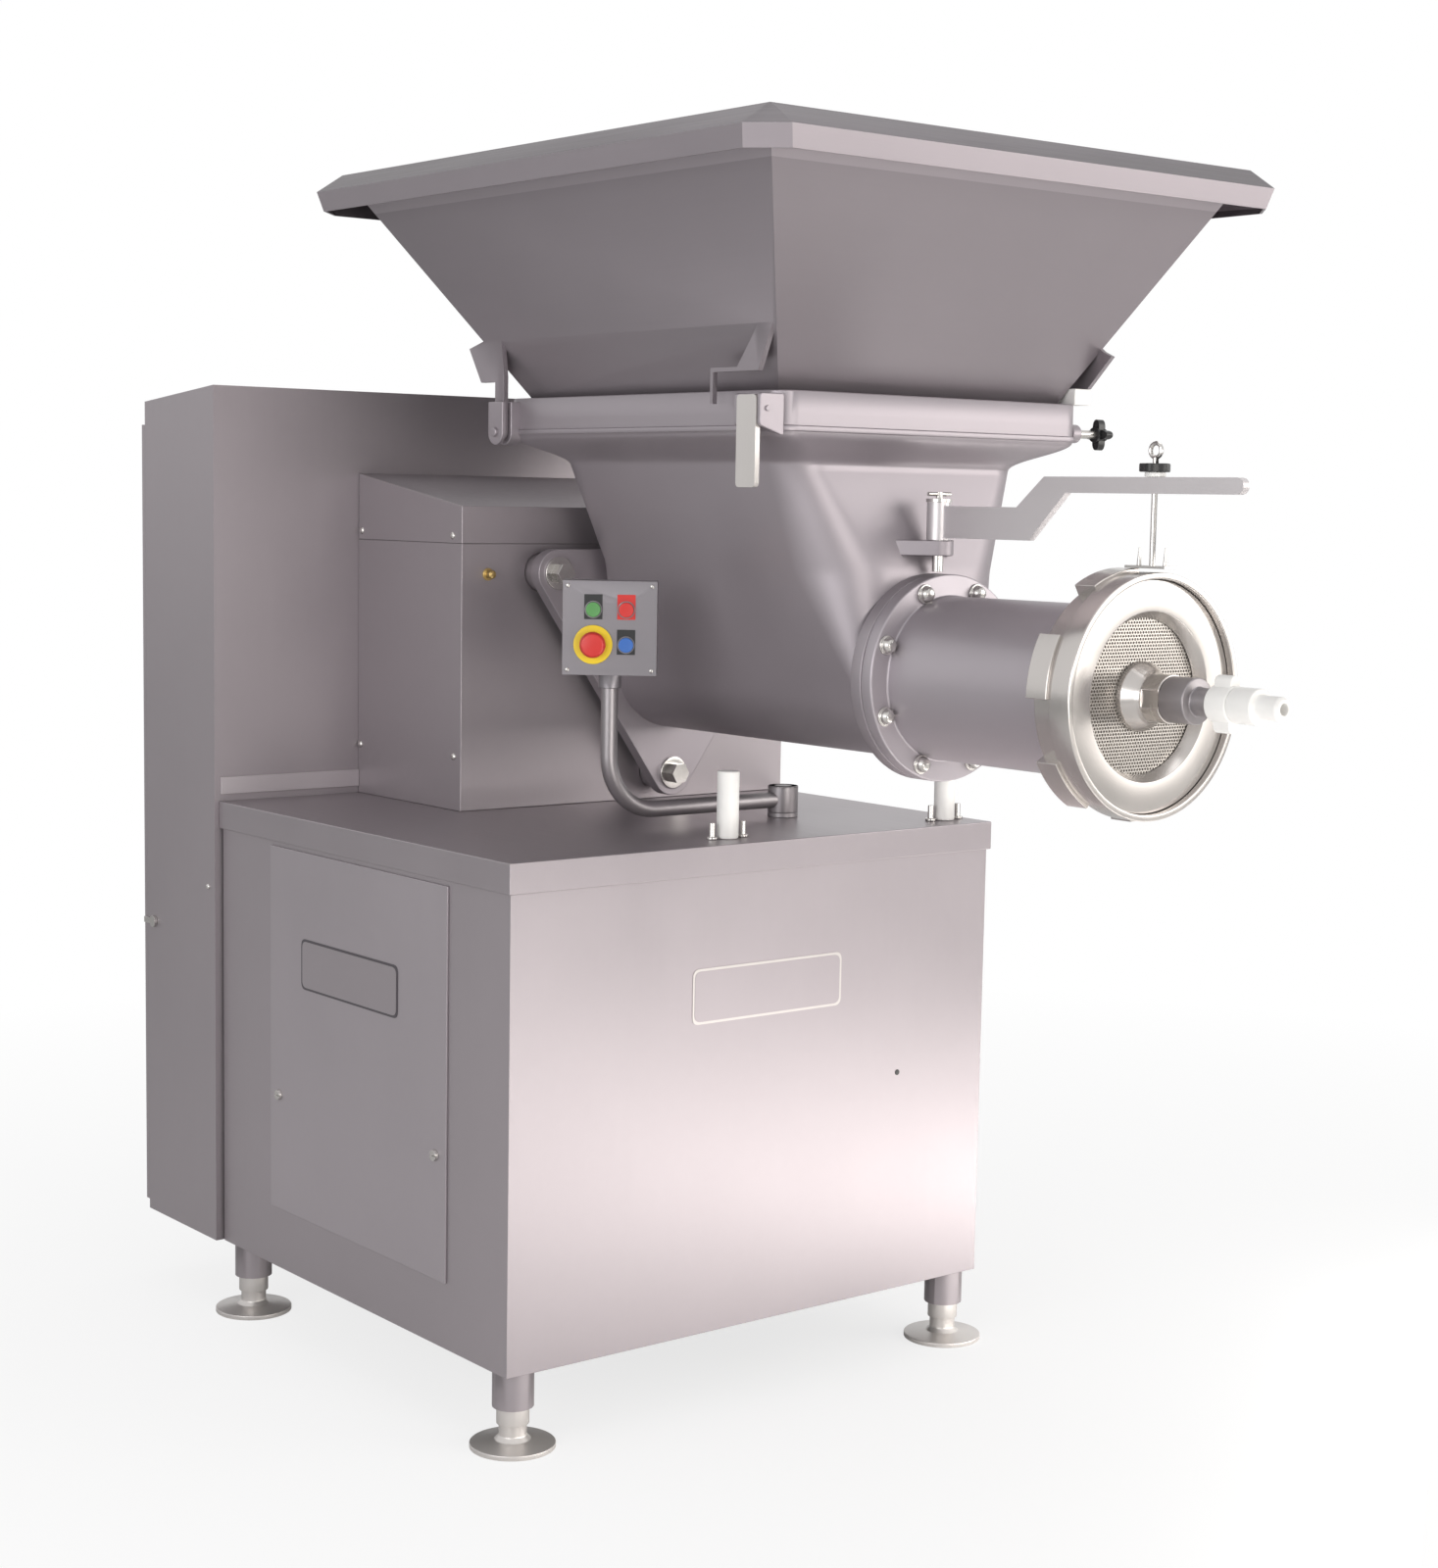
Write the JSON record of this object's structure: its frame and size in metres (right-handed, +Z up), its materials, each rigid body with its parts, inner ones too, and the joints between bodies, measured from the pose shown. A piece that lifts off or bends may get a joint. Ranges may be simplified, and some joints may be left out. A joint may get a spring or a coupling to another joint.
{
  "type": "meat mincer",
  "caption": "Floor-standing meat mincer with pyramid hopper, feed screw in a cast bowl and barrel, lugged retaining ring, drive cabinet and control box.",
  "frame": {"origin": "centre of the bounding box on the floor", "axes": "+X forward out of the barrel, +Y away from the operator's side, +Z up"},
  "size_m": [1.893, 1.175, 1.843],
  "materials": {
    "sheet_steel": "brushed stainless sheet",
    "cast_steel": "blasted stainless casting",
    "turned_steel": "bright turned stainless steel",
    "machined_steel": "machined steel, oiled",
    "painted_iron": "satin paint",
    "white_plastic": "white food plastic",
    "black_plastic": "black moulded plastic",
    "belt_rubber": "matt rubber",
    "green_plastic": "green button",
    "red_plastic": "red button",
    "blue_plastic": "blue button",
    "yellow_plastic": "yellow disc"
  },
  "bodies": {
    "machine": {"base_frame": "sheet_steel", "foot_front_near": "sheet_steel", "foot_front_far": "sheet_steel", "foot_rear_near": "sheet_steel", "foot_rear_far": "sheet_steel", "base_cabinet": "sheet_steel", "base_cover": "sheet_steel", "side_door": "sheet_steel", "rear_cabinet": "sheet_steel", "cover_joint_strip": "sheet_steel", "gearbox_cover": "sheet_steel", "gearbox_cover_lid": "sheet_steel", "control_socket": "sheet_steel", "discharge_coupling": "sheet_steel", "bowl": "cast_steel", "barrel": "cast_steel", "grinder_plate": "turned_steel", "bridge_ring": "turned_steel", "discharge_hub": "turned_steel", "bowl_bolt_near": "turned_steel", "bowl_bolt_far": "turned_steel", "bowl_bolt_lower": "turned_steel", "gearbox_housing": "painted_iron", "motor": "painted_iron", "valve_body": "white_plastic", "hopper_pad": "white_plastic", "rest_post_near": "white_plastic", "rest_post_far": "white_plastic", "drive_belt": "belt_rubber"},
    "screw": {"feed_screw": "turned_steel", "knife": "turned_steel", "output_shaft": "turned_steel", "output_gear": "machined_steel"},
    "input_drive": {"input_pinion": "machined_steel", "gearbox_pulley": "machined_steel"},
    "motor_rotor": {"motor_pulley": "machined_steel"},
    "ring": {"retaining_ring": "turned_steel"},
    "valve_lever": {"valve_handle": "white_plastic"},
    "hopper_body": {"hopper": "sheet_steel"},
    "clamp": {"clamp_lever": "sheet_steel"},
    "star": {"star_knob": "black_plastic"},
    "arm": {"ring_arm": "sheet_steel", "hanger_washer": "white_plastic"},
    "arm_pin_body": {"arm_pin": "turned_steel"},
    "hanger": {"hanger_rod": "turned_steel", "hanger_plate": "turned_steel"},
    "hanger_nut": {"hanger_knob": "black_plastic"},
    "control": {"control_arm": "sheet_steel", "control_box": "sheet_steel", "control_panel": "sheet_steel", "estop_disc": "yellow_plastic"},
    "green": {"green_button": "green_plastic"},
    "red": {"red_button": "red_plastic"},
    "blue": {"blue_button": "blue_plastic"},
    "stop": {"estop_button": "red_plastic"},
    "door": {"rear_door": "sheet_steel"},
    "latch": {"rear_door_latch": "turned_steel"},
    "fastener_front": {"side_door_fastener_front": "turned_steel"},
    "fastener_rear": {"side_door_fastener_rear": "turned_steel"}
  },
  "joints": [
    {"name": "screw_turn", "type": "hinge", "parent": "machine", "child": "screw", "pos_m": [0.1525, 0.07603, 1.088], "axis": [1, 0, 0], "continuous": true},
    {"name": "input_turn", "type": "hinge", "parent": "machine", "child": "input_drive", "pos_m": [-0.8, 0.07603, 0.938], "axis": [1, 0, 0], "continuous": true},
    {"name": "motor_turn", "type": "hinge", "parent": "machine", "child": "motor_rotor", "pos_m": [-0.8, 0.07603, 0.275], "axis": [1, 0, 0], "continuous": true},
    {"name": "ring_turn", "type": "hinge", "parent": "machine", "child": "ring", "pos_m": [0.6925, 0.07603, 1.088], "axis": [1, 0, 0], "range_deg": [0, 60]},
    {"name": "valve_turn", "type": "hinge", "parent": "machine", "child": "valve_lever", "pos_m": [0.8685, 0.07603, 1.088], "axis": [1, 0, 0], "range_deg": [0, 90]},
    {"name": "hopper_tilt", "type": "hinge", "parent": "machine", "child": "hopper_body", "pos_m": [-0.3635, 0.07603, 1.44], "axis": [0, -1, 0], "range_deg": [0, 30]},
    {"name": "clamp_lever_turn", "type": "hinge", "parent": "machine", "child": "clamp", "pos_m": [0.2665, -0.24597, 1.466], "axis": [-1, 0, 0], "range_deg": [0, 110]},
    {"name": "star_knob_turn", "type": "hinge", "parent": "machine", "child": "star", "pos_m": [0.2705, 0.42603, 1.45], "axis": [0, 1, 0], "continuous": true},
    {"name": "ring_arm_swing", "type": "hinge", "parent": "machine", "child": "arm", "pos_m": [0.3005, 0.07603, 1.2875], "axis": [0, 0, 1], "range_deg": [-75, 75]},
    {"name": "arm_pin_turn", "type": "hinge", "parent": "machine", "child": "arm_pin_body", "pos_m": [0.3005, 0.07603, 1.342], "axis": [0, 0, 1], "range_deg": [-90, 90]},
    {"name": "hanger_knob_turn", "type": "hinge", "parent": "arm", "child": "hanger_nut", "pos_m": [0.7145, 0.07603, 1.38], "axis": [0, 0, 1], "range_deg": [0, 2160]},
    {"name": "hanger_rod_lift", "type": "slide", "parent": "arm", "child": "hanger", "axis": [0, 0, 1], "range_m": [0, 0.012]},
    {"name": "control_arm_swivel", "type": "hinge", "parent": "machine", "child": "control", "pos_m": [-0.0695, 0.10203, 0.888], "axis": [0, 0, 1], "range_deg": [-25, 25]},
    {"name": "green_button_press", "type": "slide", "parent": "control", "child": "green", "axis": [-0.7826, 0.6225, 0], "range_m": [0, 0.004], "stiffness_N_per_m": 300},
    {"name": "red_button_press", "type": "slide", "parent": "control", "child": "red", "axis": [-0.7826, 0.6225, 0], "range_m": [0, 0.004], "stiffness_N_per_m": 300},
    {"name": "blue_button_press", "type": "slide", "parent": "control", "child": "blue", "axis": [-0.7826, 0.6225, 0], "range_m": [0, 0.004], "stiffness_N_per_m": 300},
    {"name": "estop_press", "type": "slide", "parent": "control", "child": "stop", "axis": [-0.7826, 0.6225, 0], "range_m": [0, 0.005], "stiffness_N_per_m": 300},
    {"name": "rear_door_swing", "type": "hinge", "parent": "machine", "child": "door", "pos_m": [-0.9393, 0.36603, 0.33], "axis": [0, 0, -1], "range_deg": [0, 110]},
    {"name": "rear_latch_turn", "type": "hinge", "parent": "machine", "child": "latch", "pos_m": [-0.9075, -0.57427, 0.616], "axis": [0, 1, 0], "range_deg": [0, 90]},
    {"name": "side_fastener_front_turn", "type": "hinge", "parent": "machine", "child": "fastener_front", "pos_m": [-0.0355, -0.56557, 0.396], "axis": [0, 1, 0], "range_deg": [0, 90]},
    {"name": "side_fastener_rear_turn", "type": "hinge", "parent": "machine", "child": "fastener_rear", "pos_m": [-0.4935, -0.56557, 0.396], "axis": [0, 1, 0], "range_deg": [0, 90]}
  ],
  "couplings": [
    {"joint": "input_turn", "follows": "screw_turn", "ratio": -5},
    {"joint": "motor_turn", "follows": "screw_turn", "ratio": -10},
    {"joint": "hanger_knob_turn", "follows": "hanger_rod_lift", "rad_per_m": 3141.6}
  ]
}
